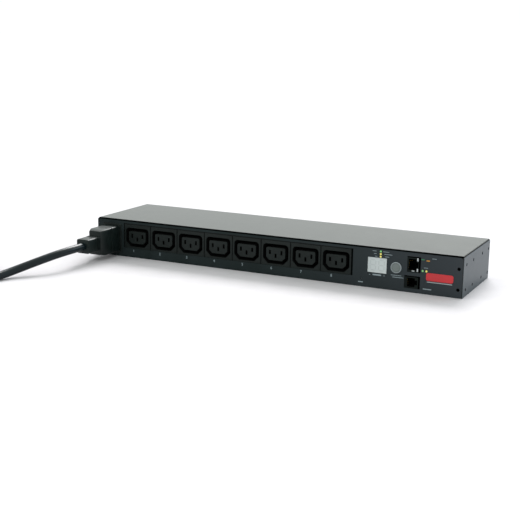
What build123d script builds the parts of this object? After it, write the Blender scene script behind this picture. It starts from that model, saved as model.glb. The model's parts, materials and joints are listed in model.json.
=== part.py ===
"""A one-unit switched rack power strip, front at -Y, standing on Z = 0, centred on X and Y.

Eight outlets in a row, a mains inlet at the left end, and a display, two jacks and their
boards at the right end. The mains cord is plugged in and its spare length is coiled up.
"""
import math
import os

from build123d import *

os.makedirs("parts", exist_ok=True)

# ---------------------------------------------------------------- driving dimensions, mm
WIDTH = 444.0
DEPTH = 108.0
HEIGHT = 44.0
SHEET = 1.2                     # steel sheet of the tray and of the cover
PROUD = 0.8                     # how far the inlet's flange stands out of the panel
FRONT = -DEPTH / 2 + PROUD      # outer face of the front panel
REAR = DEPTH / 2                # outer face of the rear wall
COVER_BEND = 2.5                # outside radius of the cover's two long bends
COVER_STEP = 1.5                # the cover's top starts this far behind the panel
TRAY_HEIGHT = HEIGHT - SHEET - 0.4

OUTLET_COUNT = 8
OUTLET_START = 36.4             # from the strip's left end to the first outlet's edge
OUTLET_PITCH = 35.74
OUTLET_LOW = 10.7               # lower edge of the outlets' window in the panel
OUTLET_HIGH = 39.8
OUTLET_GAP = 0.9                # dark gap between neighbouring outlets
SOCKET_Z = 23.8                 # middle height of each socket's moat
SOCKET_WIDTH = 30.8
SOCKET_HEIGHT = 22.4
SOCKET_WALL = 4.0               # width of the moat round the island
SOCKET_DEPTH = 17.0
CONTACT_X = 7.0                 # line and neutral, each side of the earth contact
CONTACT_UP = 1.7
EARTH_DOWN = 2.0

INLET_X = 20.2 - WIDTH / 2
INLET_Z = 21.0
NOSE_WIDTH = 19.6               # the plug's nose, which stands on its short side
NOSE_HEIGHT = 27.6
NOSE_LENGTH = 18.0
SLIDING_GAP = 0.3               # between the nose and the inlet, all round
PIN_SPAN = 13.0                 # line pin to neutral pin
PIN_OFFSET = 4.0                # those two to one side of the middle, earth to the other
PIN_THICK = 2.0
PIN_TALL = 8.0

WINDOW_X = 351.05 - WIDTH / 2   # the display
WINDOW_Z = 24.7
WINDOW_WIDTH = 21.3
WINDOW_HEIGHT = 16.6
BUTTON_X = 372.1 - WIDTH / 2
BUTTON_Z = 24.6
RING_RADIUS = 5.9
CAP_RADIUS = 4.7
RESET_X = 333.6 - WIDTH / 2
RESET_Z = 8.7
LED_X = 354.7 - WIDTH / 2
LED_RADIUS = 1.1
LED_HEIGHTS = (40.0, 37.2, 34.4)
LINK_LEDS_X = (400.9 - WIDTH / 2, 404.9 - WIDTH / 2)
LINK_LEDS_Z = 24.3

ETHERNET_X = (162.2, 176.4)     # the jack's shell, left to right
ETHERNET_Z = (21.8, 38.2)
SERIAL_X = (159.6, 176.4)
SERIAL_Z = (4.5, 17.6)
NETWORK_BOARD_X = 176.4
BOARD = 1.6                     # thickness of every circuit board

OUTLET_BOARD_DEPTH = 25.0       # from the panel's face
DISPLAY_BOARD_DEPTH = 9.0
POWER_BOARD_Z = 8.0

BRACKET_HOLE = 1.8              # radius of the rack brackets' holes
SIDE_HOLES_Y = 3.5              # middle of the holes in each end
SIDE_OUTER = 91.4
SIDE_INNER = 37.0
SIDE_HOLES_Z = 20.5
SIDE_ROWS = 26.6
FRONT_HOLES_X = 217.0
FRONT_HOLES_Z = 19.55
FRONT_ROWS = 21.9

CORD_RADIUS = 4.5
PLUG_END = -114.0               # where the cord leaves the plug
COIL_X = -304.0
COIL_Y = -243.0
COIL_TURNS = (42.0, 51.0, 60.0)  # radius of the cord's line in each ring of turns
COIL_LAYERS = 2
STUB_RADIUS = 4.4

OUTLET_CENTRES = [
    OUTLET_START + OUTLET_PITCH * (i + 0.5) - WIDTH / 2 for i in range(OUTLET_COUNT)
]
OUTLET_ROW = OUTLET_PITCH * OUTLET_COUNT
OUTLET_ROW_X = OUTLET_START + OUTLET_ROW / 2 - WIDTH / 2
CUT = 2.0                       # how far a cutting tool runs past a face


def front(depth):
    """A plane facing the viewer, this far behind the panel's face: X right, Z up."""
    return Plane(origin=(0, FRONT + depth, 0), x_dir=(1, 0, 0), z_dir=(0, -1, 0))


def end_view(x):
    """A plane across the strip at this X, looking along +X: Y right, Z up."""
    return Plane(origin=(x, 0, 0), x_dir=(0, 1, 0), z_dir=(1, 0, 0))


def socket_outline(shrink):
    """The keyed outline of a socket, made smaller by this much all round."""
    half = SOCKET_WIDTH / 2 - shrink
    high = SOCKET_HEIGHT / 2 - shrink
    slant = 6.0 - shrink * 0.6
    with BuildSketch(mode=Mode.PRIVATE) as outline:
        with BuildLine():
            Polyline(
                (-half, high),
                (half, high),
                (half, slant - high),
                (half - slant, -high),
                (slant - half, -high),
                (-half, slant - high),
                close=True,
            )
        make_face()
        corners = outline.vertices().group_by(Axis.Y)
        fillet(corners[-1], 4.2 - shrink * 0.6)
        fillet(corners[0] + corners[1], 1.6)
    return outline.sketch


# ================================================================ sheet metal
# The tray is folded from one sheet: the floor, the front panel with all its openings, the
# rear wall and the two ends. A narrow shelf along the panel's top carries the cover.
with BuildPart() as chassis_tray:
    inside_width = WIDTH - 4 * SHEET
    with BuildSketch(Plane.XY):
        with Locations((0, (FRONT + REAR) / 2)):
            Rectangle(WIDTH - 2 * SHEET, REAR - FRONT)
    extrude(amount=TRAY_HEIGHT)
    top_corners = chassis_tray.edges().filter_by(Axis.Y).group_by(Axis.Z)[-1]
    fillet(top_corners, COVER_BEND)
    with BuildSketch(Plane.XY.offset(SHEET)):
        with Locations((0, (FRONT + REAR) / 2)):
            Rectangle(inside_width, REAR - FRONT - 2 * SHEET)
    extrude(amount=HEIGHT, mode=Mode.SUBTRACT)
    with Locations((0, FRONT + SHEET, TRAY_HEIGHT - SHEET)):
        Box(inside_width - 4, 7, SHEET, align=(Align.CENTER, Align.MIN, Align.MIN))
    # a tab lanced up from the floor holds the network board
    with Locations((NETWORK_BOARD_X + BOARD, -12, SHEET)):
        Box(SHEET, 16, 15, align=(Align.MIN, Align.MIN, Align.MIN))
    with BuildSketch(end_view(NETWORK_BOARD_X)):
        with Locations((-8, 12), (0, 12)):
            Circle(1.3)
    extrude(amount=BOARD + SHEET + CUT, mode=Mode.SUBTRACT)
    with BuildSketch(front(-CUT)):
        with Locations((OUTLET_ROW_X, (OUTLET_LOW + OUTLET_HIGH) / 2)):
            Rectangle(OUTLET_ROW + 0.4, OUTLET_HIGH - OUTLET_LOW)
        with Locations((INLET_X, INLET_Z)):
            Rectangle(22.8, 30.8)
        with Locations((WINDOW_X, WINDOW_Z)):
            Rectangle(WINDOW_WIDTH, WINDOW_HEIGHT)
        with Locations((BUTTON_X, BUTTON_Z)):
            Circle(5.5)
        with Locations((RESET_X, RESET_Z)):
            Circle(0.8)
        with Locations([(LED_X, z) for z in LED_HEIGHTS]):
            Circle(LED_RADIUS + 0.05)
        with Locations([(x, LINK_LEDS_Z) for x in LINK_LEDS_X]):
            Circle(LED_RADIUS + 0.05)
        for jack_x, jack_z in ((ETHERNET_X, ETHERNET_Z), (SERIAL_X, SERIAL_Z)):
            with Locations((sum(jack_x) / 2, sum(jack_z) / 2)):
                Rectangle(jack_x[1] - jack_x[0] + 0.4, jack_z[1] - jack_z[0] + 0.4)
        with Locations((0, FRONT_HOLES_Z)):
            with GridLocations(2 * FRONT_HOLES_X, FRONT_ROWS, 2, 2):
                Circle(BRACKET_HOLE)
    extrude(amount=-(CUT + SHEET + 0.1), mode=Mode.SUBTRACT)
    with BuildSketch(end_view(-WIDTH / 2)):
        with Locations((SIDE_HOLES_Y, SIDE_HOLES_Z)):
            with GridLocations(SIDE_OUTER, SIDE_ROWS, 2, 2):
                Circle(BRACKET_HOLE)
            with GridLocations(SIDE_INNER, SIDE_ROWS, 2, 2):
                Circle(BRACKET_HOLE)
    extrude(amount=WIDTH, mode=Mode.SUBTRACT)
    REAR_SCREWS = [(x, 38.0) for x in (-190, -65, 65, 190)]
    with BuildSketch(front(REAR - FRONT + CUT)):
        with Locations(REAR_SCREWS):
            Circle(1.5)
    extrude(amount=CUT + SHEET + 0.5, mode=Mode.SUBTRACT)
    for screw_x, screw_z in REAR_SCREWS:
        with Locations(Location((screw_x, REAR - 0.6, screw_z), (90, 0, 0))):
            Cone(2.7, 1.5, SHEET, mode=Mode.SUBTRACT)
chassis_tray.part.label = "chassis_tray"
export_step(chassis_tray.part, "parts/chassis_tray.step")

# The cover is one sheet folded over both ends, with a lip inside the rear wall.
with BuildPart() as top_cover:
    with BuildSketch(front(0)) as shell_section:
        Rectangle(WIDTH, HEIGHT, align=(Align.CENTER, Align.MIN))
        fillet(shell_section.vertices().group_by(Axis.Y)[-1], COVER_BEND)
        with BuildSketch(front(0), mode=Mode.SUBTRACT) as hollow:
            Rectangle(WIDTH - 2 * SHEET, HEIGHT - SHEET, align=(Align.CENTER, Align.MIN))
            fillet(hollow.vertices().group_by(Axis.Y)[-1], COVER_BEND - SHEET)
    extrude(amount=-(REAR - FRONT))
    with Locations((0, FRONT, HEIGHT - SHEET - 0.4)):
        Box(
            WIDTH + CUT,
            COVER_STEP,
            SHEET + CUT,
            align=(Align.CENTER, Align.MIN, Align.MIN),
            mode=Mode.SUBTRACT,
        )
    with Locations((0, REAR - 2 * SHEET, 32)):
        Box(400, SHEET, HEIGHT - SHEET - 32, align=(Align.CENTER, Align.MIN, Align.MIN))
    with BuildSketch(end_view(-WIDTH / 2 - CUT)):
        with Locations((SIDE_HOLES_Y, SIDE_HOLES_Z)):
            with GridLocations(SIDE_OUTER, SIDE_ROWS, 2, 2):
                Circle(BRACKET_HOLE)
            with GridLocations(SIDE_INNER, SIDE_ROWS, 2, 2):
                Circle(BRACKET_HOLE)
    extrude(amount=WIDTH + 2 * CUT, mode=Mode.SUBTRACT)
    with BuildSketch(front(REAR - FRONT)):
        with Locations(REAR_SCREWS):
            Circle(1.5)
    extrude(amount=5, mode=Mode.SUBTRACT)
top_cover.part.label = "top_cover"
export_step(top_cover.part, "parts/top_cover.step")

# Four flat-head screws go through the rear wall into the cover's lip.
with BuildPart() as cover_screws:
    for screw_x, screw_z in REAR_SCREWS:
        with Locations(Location((screw_x, REAR - 0.6, screw_z), (90, 0, 0))):
            Cone(2.6, 1.45, SHEET)
        with Locations(Location((screw_x, REAR - SHEET - 2.5, screw_z), (90, 0, 0))):
            Cylinder(1.45, 5)
        with Locations((screw_x, REAR, screw_z)):
            Box(3.0, 1.2, 0.6, mode=Mode.SUBTRACT)
            Box(0.6, 1.2, 3.0, mode=Mode.SUBTRACT)
cover_screws.part.label = "cover_screws"
export_step(cover_screws.part, "parts/cover_screws.step")

# A plain raised plate at the right end of the panel.
with BuildPart() as badge:
    with BuildSketch(front(0)):
        with Locations((419.3 - WIDTH / 2, 18.8)):
            RectangleRounded(29.0, 8.4, 2.2)
    extrude(amount=0.5)
    fillet(badge.faces().sort_by(Axis.Y)[0].edges(), 0.3)
badge.part.label = "badge"
export_step(badge.part, "parts/badge.step")

# ================================================================ outlets
# Each outlet is a moulded block pushed up from behind the panel: a plate behind the sheet,
# a face in the window, and a keyed moat round an island with three contact slots.
CONTACTS = {
    "line": (CONTACT_X, CONTACT_UP),
    "neutral": (-CONTACT_X, CONTACT_UP),
    "earth": (0, -EARTH_DOWN),
}
OUTLET_BACK = 24.0              # the block's back, from the panel's face
POCKET_FRONT = 6.0
POCKET_BACK = 22.0
FACE_SET_BACK = 0.4
for number, outlet_x in enumerate(OUTLET_CENTRES, start=1):
    with BuildPart() as outlet:
        with BuildSketch(front(SHEET)):
            with Locations((outlet_x, 25.2)):
                Rectangle(OUTLET_PITCH - 0.3, 31.4)
        extrude(amount=-1.8)
        with BuildSketch(front(SHEET)):
            with Locations((outlet_x, (OUTLET_LOW + OUTLET_HIGH - OUTLET_GAP) / 2)):
                Rectangle(OUTLET_PITCH - OUTLET_GAP, OUTLET_HIGH - OUTLET_LOW - OUTLET_GAP)
        extrude(amount=SHEET - FACE_SET_BACK)
        rim = outlet.faces().sort_by(Axis.Y)[0].edges()
        fillet(rim, 0.35)
        with BuildSketch(front(SHEET + 1.8)):
            with Locations((outlet_x, SOCKET_Z)):
                RectangleRounded(32.6, 25.6, 1.5)
        extrude(amount=-(OUTLET_BACK - SHEET - 1.8))
        with BuildSketch(front(FACE_SET_BACK)):
            with Locations((outlet_x, SOCKET_Z)):
                add(socket_outline(0))
                add(socket_outline(SOCKET_WALL), mode=Mode.SUBTRACT)
        extrude(amount=-(SOCKET_DEPTH - FACE_SET_BACK), mode=Mode.SUBTRACT)
        for slot_x, slot_z in CONTACTS.values():
            with BuildSketch(front(0)):
                with Locations((outlet_x + slot_x, SOCKET_Z + slot_z)):
                    RectangleRounded(2.4, 4.9, 0.4)
            extrude(amount=-POCKET_FRONT, mode=Mode.SUBTRACT)
            with BuildSketch(front(POCKET_FRONT)):
                with Locations((outlet_x + slot_x, SOCKET_Z + slot_z)):
                    Rectangle(3.4, 5.6)
            extrude(amount=-(POCKET_BACK - POCKET_FRONT), mode=Mode.SUBTRACT)
            with BuildSketch(front(POCKET_BACK)):
                with Locations((outlet_x + slot_x, SOCKET_Z + slot_z)):
                    Rectangle(1.2, 2.8)
            extrude(amount=-(OUTLET_BACK - POCKET_BACK), mode=Mode.SUBTRACT)
    outlet.part.label = f"outlet_{number}"
    export_step(outlet.part, f"parts/outlet_{number}.step")

# A contact is a pair of springy leaves on a base, with a tail soldered into the board.
for contact_name, (slot_x, slot_z) in CONTACTS.items():
    with BuildPart() as outlet_contacts:
        for outlet_x in OUTLET_CENTRES:
            base = (outlet_x + slot_x, FRONT + POCKET_BACK, SOCKET_Z + slot_z)
            with Locations(base):
                Box(2.9, 1.0, 4.4, align=(Align.CENTER, Align.MAX, Align.CENTER))
                Box(0.8, 4.6, 2.4, align=(Align.CENTER, Align.MIN, Align.CENTER))
            for side in (-1, 1):
                with Locations((base[0] + side * 1.2, base[1] - 1.0, base[2])):
                    Box(0.5, 13.0, 4.4, align=(Align.CENTER, Align.MAX, Align.CENTER))
    outlet_contacts.part.label = f"outlet_{contact_name}_contacts"
    export_step(outlet_contacts.part, f"parts/outlet_{contact_name}_contacts.step")

# The board behind the outlets holds every contact's tail, and one relay for each outlet.
OUTLET_BOARD_LEFT = -186.5
OUTLET_BOARD_RIGHT = 104.0
with BuildPart() as outlet_board:
    with BuildSketch(front(OUTLET_BOARD_DEPTH)):
        with Locations((OUTLET_BOARD_LEFT, 3.0)):
            Rectangle(
                OUTLET_BOARD_RIGHT - OUTLET_BOARD_LEFT,
                37.0,
                align=(Align.MIN, Align.MIN),
            )
        for outlet_x in OUTLET_CENTRES:
            for slot_x, slot_z in CONTACTS.values():
                with Locations((outlet_x + slot_x, SOCKET_Z + slot_z)):
                    Rectangle(1.2, 2.8, mode=Mode.SUBTRACT)
    extrude(amount=-BOARD)
outlet_board.part.label = "outlet_board"
export_step(outlet_board.part, "parts/outlet_board.step")

RELAY_SHIFT = 14.3              # from an outlet's middle to its relay's middle
for number, outlet_x in enumerate(OUTLET_CENTRES, start=1):
    with BuildPart() as relay:
        with BuildSketch(front(OUTLET_BOARD_DEPTH + BOARD)):
            with Locations((outlet_x + RELAY_SHIFT, 22.5)):
                RectangleRounded(12.6, 28.6, 0.6)
        extrude(amount=-15.7)
        fillet(relay.faces().sort_by(Axis.Y)[-1].edges(), 0.5)
    relay.part.label = f"relay_{number}"
    export_step(relay.part, f"parts/relay_{number}.step")

# ================================================================ mains inlet
# The inlet stands on its short side: a flange on the panel, a shroud, and three flat pins.
CAVITY_DEPTH = 19.5
INLET_BACK = 30.0
PIN_FRONT = 4.0                 # the pins' tips, behind the panel's face
PIN_BACK = 40.0
PINS = {
    "line": (PIN_OFFSET, PIN_SPAN / 2),
    "neutral": (PIN_OFFSET, -PIN_SPAN / 2),
    "earth": (-PIN_OFFSET, 0),
}
with BuildPart() as inlet_housing:
    with BuildSketch(front(0)):
        with Locations((INLET_X, INLET_Z)):
            RectangleRounded(25.6, 35.0, 2.0)
    extrude(amount=PROUD)
    fillet(inlet_housing.faces().sort_by(Axis.Y)[0].edges(), 0.4)
    with BuildSketch(front(0)):
        with Locations((INLET_X, INLET_Z)):
            RectangleRounded(22.6, 30.6, 1.2)
    extrude(amount=-INLET_BACK)
    with BuildSketch(front(-PROUD)):
        with Locations((INLET_X, INLET_Z)):
            RectangleRounded(
                NOSE_WIDTH + 2 * SLIDING_GAP,
                NOSE_HEIGHT + 2 * SLIDING_GAP,
                2.3,
            )
    extrude(amount=-(CAVITY_DEPTH + PROUD), mode=Mode.SUBTRACT)
    with BuildSketch(front(CAVITY_DEPTH)):
        for pin_x, pin_z in PINS.values():
            with Locations((INLET_X + pin_x, INLET_Z + pin_z)):
                Rectangle(PIN_THICK, PIN_TALL)
    extrude(amount=-(INLET_BACK - CAVITY_DEPTH), mode=Mode.SUBTRACT)
inlet_housing.part.label = "inlet_housing"
export_step(inlet_housing.part, "parts/inlet_housing.step")

with BuildPart() as inlet_pins:
    for pin_x, pin_z in PINS.values():
        with BuildSketch(front(PIN_FRONT)):
            with Locations((INLET_X + pin_x, INLET_Z + pin_z)):
                Rectangle(PIN_THICK, PIN_TALL)
        extrude(amount=-(INLET_BACK - PIN_FRONT))
        with BuildSketch(front(INLET_BACK)):
            with Locations((INLET_X + pin_x, INLET_Z + pin_z)):
                Rectangle(0.8, 6.3)
        extrude(amount=-(PIN_BACK - INLET_BACK))
    tips = inlet_pins.faces().filter_by(Axis.Y).group_by(Axis.Y)[0].edges()
    chamfer(tips, 0.4)
inlet_pins.part.label = "inlet_pins"
export_step(inlet_pins.part, "parts/inlet_pins.step")

# ================================================================ power board
POWER_LEFT = -184.0
POWER_RIGHT = 148.0
POWER_FRONT = -8.0
POWER_BACK = 46.0
POWER_TOP = POWER_BOARD_Z + BOARD
POWER_SCREWS = [(x, y) for x in (-178, -20, 142) for y in (-3.5, 41)]
with BuildPart() as power_board:
    with BuildSketch(Plane.XY.offset(POWER_BOARD_Z)):
        with Locations((POWER_LEFT, POWER_FRONT)):
            Rectangle(
                POWER_RIGHT - POWER_LEFT,
                POWER_BACK - POWER_FRONT,
                align=(Align.MIN, Align.MIN),
            )
        with Locations(POWER_SCREWS):
            Circle(1.6, mode=Mode.SUBTRACT)
    extrude(amount=BOARD)
power_board.part.label = "power_board"
export_step(power_board.part, "parts/power_board.step")

# The transformer is a stack of laminations round a wound bobbin.
with BuildPart() as power_transformer:
    with Locations((-128, 20, POWER_TOP)):
        Box(42, 16, 28, align=(Align.CENTER, Align.CENTER, Align.MIN))
    with BuildSketch(front(20 - FRONT - 15)):
        with Locations((-128, POWER_TOP + 14)):
            RectangleRounded(26, 18, 2)
    extrude(amount=-30)
power_transformer.part.label = "power_transformer"
export_step(power_transformer.part, "parts/power_transformer.step")

CAPACITORS = [(-88, 8, 6.2, 22), (-88, 26, 6.2, 22), (-66, 12, 5.0, 16), (-66, 28, 4.0, 12)]
with BuildPart() as supply_capacitors:
    for can_x, can_y, can_radius, can_height in CAPACITORS:
        with Locations((can_x, can_y, POWER_TOP)):
            Cylinder(
                can_radius,
                can_height,
                align=(Align.CENTER, Align.CENTER, Align.MIN),
            )
    can_tops = supply_capacitors.faces().filter_by(Axis.Z).sort_by(Axis.Z)[-len(CAPACITORS):]
    fillet(can_tops.edges(), 0.8)
supply_capacitors.part.label = "supply_capacitors"
export_step(supply_capacitors.part, "parts/supply_capacitors.step")

# The terminal block takes the inlet's line and neutral leads, which go on to the relays.
BLOCK_X = -167.0
BLOCK_Y = 15.0
with BuildPart() as terminal_block:
    with Locations((BLOCK_X, BLOCK_Y, POWER_TOP)):
        Box(12, 22, 15, align=(Align.CENTER, Align.CENTER, Align.MIN))
    back_edge = terminal_block.edges().filter_by(Axis.Y).group_by(Axis.Z)[-1]
    chamfer(back_edge.sort_by(Axis.X)[-1], 4)
    with BuildSketch(end_view(BLOCK_X - 6)):
        with Locations((BLOCK_Y - 6, POWER_TOP + 6), (BLOCK_Y + 6, POWER_TOP + 6)):
            Circle(2.0)
    extrude(amount=7, mode=Mode.SUBTRACT)
    with BuildSketch(Plane.XY.offset(POWER_TOP + 15)):
        with Locations((BLOCK_X - 1.5, BLOCK_Y - 6), (BLOCK_X - 1.5, BLOCK_Y + 6)):
            Circle(1.9)
    extrude(amount=-4, mode=Mode.SUBTRACT)
terminal_block.part.label = "terminal_block"
export_step(terminal_block.part, "parts/terminal_block.step")

# The earth stud stands on the tray's floor near the inlet, with its nut.
STUD_X = INLET_X - PIN_OFFSET
STUD_Y = 0.0
with BuildPart() as earth_stud:
    with Locations((STUD_X, STUD_Y, SHEET)):
        Cylinder(4.0, 1.0, align=(Align.CENTER, Align.CENTER, Align.MIN))
        Cylinder(2.0, 11.0, align=(Align.CENTER, Align.CENTER, Align.MIN))
    with BuildSketch(Plane.XY.offset(SHEET + 2.6)):
        with Locations((STUD_X, STUD_Y)):
            RegularPolygon(3.5, 6, major_radius=False)
    extrude(amount=3.2)
earth_stud.part.label = "earth_stud"
export_step(earth_stud.part, "parts/earth_stud.step")

# Three insulated leads run from the pins' tabs: two to the block, one to the earth stud.
LEAD_RADIUS = 1.7
LEAD_START = FRONT + PIN_BACK
LEAD_ROUTES = {
    "line": (
        (INLET_X + PIN_OFFSET, LEAD_START, INLET_Z + PIN_SPAN / 2),
        (INLET_X + PIN_OFFSET, LEAD_START + 12, INLET_Z + PIN_SPAN / 2),
        (BLOCK_X - 18, BLOCK_Y + 6, POWER_TOP + 6),
        (BLOCK_X - 1, BLOCK_Y + 6, POWER_TOP + 6),
    ),
    "neutral": (
        (INLET_X + PIN_OFFSET, LEAD_START, INLET_Z - PIN_SPAN / 2),
        (INLET_X + PIN_OFFSET, LEAD_START + 10, INLET_Z - PIN_SPAN / 2),
        (BLOCK_X - 16, BLOCK_Y - 6, POWER_TOP + 6),
        (BLOCK_X - 1, BLOCK_Y - 6, POWER_TOP + 6),
    ),
    "earth": (
        (INLET_X - PIN_OFFSET, LEAD_START, INLET_Z),
        (INLET_X - PIN_OFFSET, STUD_Y + 6.0, INLET_Z),
        (STUD_X, STUD_Y + 13.0, 9.0),
        (STUD_X, STUD_Y + 7.5, SHEET + 2.0),
    ),
}
with BuildPart() as inlet_leads:
    for route in LEAD_ROUTES.values():
        with BuildLine() as lead_path:
            FilletPolyline(*route, radius=5)
        with BuildSketch(Plane(origin=lead_path.line @ 0, z_dir=lead_path.line % 0)):
            Circle(LEAD_RADIUS)
        sweep(path=lead_path.line)
    with BuildSketch(Plane.XY.offset(SHEET + 1.0)):
        with Locations((STUD_X, STUD_Y)):
            Circle(4.0)
        with Locations((STUD_X, STUD_Y + 4.5)):
            Rectangle(3.6, 7.0)
        with Locations((STUD_X, STUD_Y)):
            Circle(2.05, mode=Mode.SUBTRACT)
    extrude(amount=1.6)
inlet_leads.part.label = "inlet_leads"
export_step(inlet_leads.part, "parts/inlet_leads.step")

# ================================================================ display board
DISPLAY_LEFT = 107.0
DISPLAY_RIGHT = 158.6
DISPLAY_LOW = 3.5
DISPLAY_HIGH = 41.0
DISPLAY_SCREWS = [(111.2, 36.5), (154.2, 36.5), (154.2, 8.5)]
with BuildPart() as display_board:
    with BuildSketch(front(DISPLAY_BOARD_DEPTH)):
        with Locations((DISPLAY_LEFT, DISPLAY_LOW)):
            Rectangle(
                DISPLAY_RIGHT - DISPLAY_LEFT,
                DISPLAY_HIGH - DISPLAY_LOW,
                align=(Align.MIN, Align.MIN),
            )
        with Locations(DISPLAY_SCREWS):
            Circle(1.6, mode=Mode.SUBTRACT)
    extrude(amount=-BOARD)
display_board.part.label = "display_board"
export_step(display_board.part, "parts/display_board.step")

# Two figures of seven bars each are let into the face of the display's block.
DIGIT_HEIGHT = 11.0
DIGIT_WIDTH = 6.0
BAR = 1.1
DIGIT_CENTRES = (WINDOW_X - 4.7, WINDOW_X + 4.7)
BARS = [
    (0, DIGIT_HEIGHT / 2, True),
    (0, 0, True),
    (0, -DIGIT_HEIGHT / 2, True),
    (-DIGIT_WIDTH / 2, DIGIT_HEIGHT / 4, False),
    (DIGIT_WIDTH / 2, DIGIT_HEIGHT / 4, False),
    (-DIGIT_WIDTH / 2, -DIGIT_HEIGHT / 4, False),
    (DIGIT_WIDTH / 2, -DIGIT_HEIGHT / 4, False),
]
with BuildPart() as display_module:
    with BuildSketch(front(0.5)):
        with Locations((WINDOW_X, WINDOW_Z)):
            Rectangle(WINDOW_WIDTH - 0.2, WINDOW_HEIGHT - 0.2)
    extrude(amount=-(DISPLAY_BOARD_DEPTH - 0.5))
    with BuildSketch(front(0.5)):
        for digit_x in DIGIT_CENTRES:
            for bar_x, bar_z, flat in BARS:
                length = (DIGIT_WIDTH if flat else DIGIT_HEIGHT / 2) - BAR - 0.4
                with Locations((digit_x + bar_x, WINDOW_Z + bar_z)):
                    Rectangle(length if flat else BAR, BAR if flat else length)
    extrude(amount=-0.3, mode=Mode.SUBTRACT)
display_module.part.label = "display_module"
export_step(display_module.part, "parts/display_module.step")

with BuildPart() as display_segments:
    with BuildSketch(front(0.55)):
        for digit_x in DIGIT_CENTRES:
            for bar_x, bar_z, flat in BARS:
                length = (DIGIT_WIDTH if flat else DIGIT_HEIGHT / 2) - BAR - 0.4
                with Locations((digit_x + bar_x, WINDOW_Z + bar_z)):
                    Rectangle(length if flat else BAR, BAR if flat else length)
    extrude(amount=-0.25)
display_segments.part.label = "display_segments"
export_step(display_segments.part, "parts/display_segments.step")

# The button's ring is a bush in the panel. The cap slides in it, held back by its flange.
RING_BACK = 3.0
FLANGE_BACK = 4.2
STEM_BACK = 7.0
SWITCH_FRONT = 5.4
with BuildPart() as button_ring:
    with BuildSketch(front(0)):
        with Locations((BUTTON_X, BUTTON_Z)):
            Circle(RING_RADIUS)
    extrude(amount=0.6)
    fillet(button_ring.faces().sort_by(Axis.Y)[0].edges(), 0.35)
    with BuildSketch(front(0)):
        with Locations((BUTTON_X, BUTTON_Z)):
            Circle(5.45)
    extrude(amount=-RING_BACK)
    with BuildSketch(front(-CUT)):
        with Locations((BUTTON_X, BUTTON_Z)):
            Circle(CAP_RADIUS + SLIDING_GAP)
    extrude(amount=-(CUT + RING_BACK), mode=Mode.SUBTRACT)
button_ring.part.label = "button_ring"
export_step(button_ring.part, "parts/button_ring.step")

with BuildPart() as display_button:
    with BuildSketch(front(-0.5)):
        with Locations((BUTTON_X, BUTTON_Z)):
            Circle(CAP_RADIUS)
    extrude(amount=-(FLANGE_BACK + 0.5))
    fillet(display_button.faces().sort_by(Axis.Y)[0].edges(), 0.5)
    with BuildSketch(front(RING_BACK + 0.4)):
        with Locations((BUTTON_X, BUTTON_Z)):
            Circle(5.4)
    extrude(amount=-(FLANGE_BACK - RING_BACK - 0.4))
    with BuildSketch(front(FLANGE_BACK)):
        with Locations((BUTTON_X, BUTTON_Z)):
            Circle(1.7)
    extrude(amount=-(STEM_BACK - FLANGE_BACK))
display_button.part.label = "display_button"
export_step(display_button.part, "parts/display_button.step")

# The reset switch's plunger is pressed through the pinhole with a thin tool.
with BuildPart() as reset_button:
    with BuildSketch(front(1.7)):
        with Locations((RESET_X, RESET_Z)):
            Circle(1.2)
    extrude(amount=-5.3)
    fillet(reset_button.faces().sort_by(Axis.Y)[0].edges(), 0.3)
reset_button.part.label = "reset_button"
export_step(reset_button.part, "parts/reset_button.step")

# Two like push switches stand on the board, one for the cap's stem and one for the plunger.
with BuildPart() as push_switches:
    with BuildSketch(front(SWITCH_FRONT)):
        with Locations((BUTTON_X, BUTTON_Z), (RESET_X, RESET_Z)):
            RectangleRounded(6.2, 6.2, 0.5)
            Circle(2.1, mode=Mode.SUBTRACT)
    extrude(amount=-(DISPLAY_BOARD_DEPTH - SWITCH_FRONT))
    with BuildSketch(front(DISPLAY_BOARD_DEPTH)):
        with Locations((BUTTON_X, BUTTON_Z), (RESET_X, RESET_Z)):
            Circle(2.5)
    extrude(amount=0.7)
push_switches.part.label = "push_switches"
export_step(push_switches.part, "parts/push_switches.step")

# Light pipes: three in a column over the display, two beside the network jack.
with BuildPart() as load_led_green:
    with BuildSketch(front(-0.3)):
        with Locations((LED_X, LED_HEIGHTS[0])):
            Circle(LED_RADIUS)
    extrude(amount=-(DISPLAY_BOARD_DEPTH + 0.3))
    fillet(load_led_green.faces().sort_by(Axis.Y)[0].edges(), 0.5)
load_led_green.part.label = "load_led_green"
export_step(load_led_green.part, "parts/load_led_green.step")

with BuildPart() as load_leds_yellow:
    with BuildSketch(front(-0.3)):
        with Locations([(LED_X, z) for z in LED_HEIGHTS[1:]]):
            Circle(LED_RADIUS)
    extrude(amount=-(DISPLAY_BOARD_DEPTH + 0.3))
    fillet(load_leds_yellow.faces().filter_by(Axis.Y).group_by(Axis.Y)[0].edges(), 0.5)
load_leds_yellow.part.label = "load_leds_yellow"
export_step(load_leds_yellow.part, "parts/load_leds_yellow.step")

NETWORK_FRONT = FRONT + 3.2
for colour, led_x in zip(("green", "amber"), LINK_LEDS_X):
    with BuildPart() as link_led:
        with BuildSketch(front(-0.3)):
            with Locations((led_x, LINK_LEDS_Z)):
                Circle(LED_RADIUS)
        extrude(amount=-3.3)
        fillet(link_led.faces().sort_by(Axis.Y)[0].edges(), 0.5)
    link_led.part.label = f"link_led_{colour}"
    export_step(link_led.part, f"parts/link_led_{colour}.step")

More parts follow.
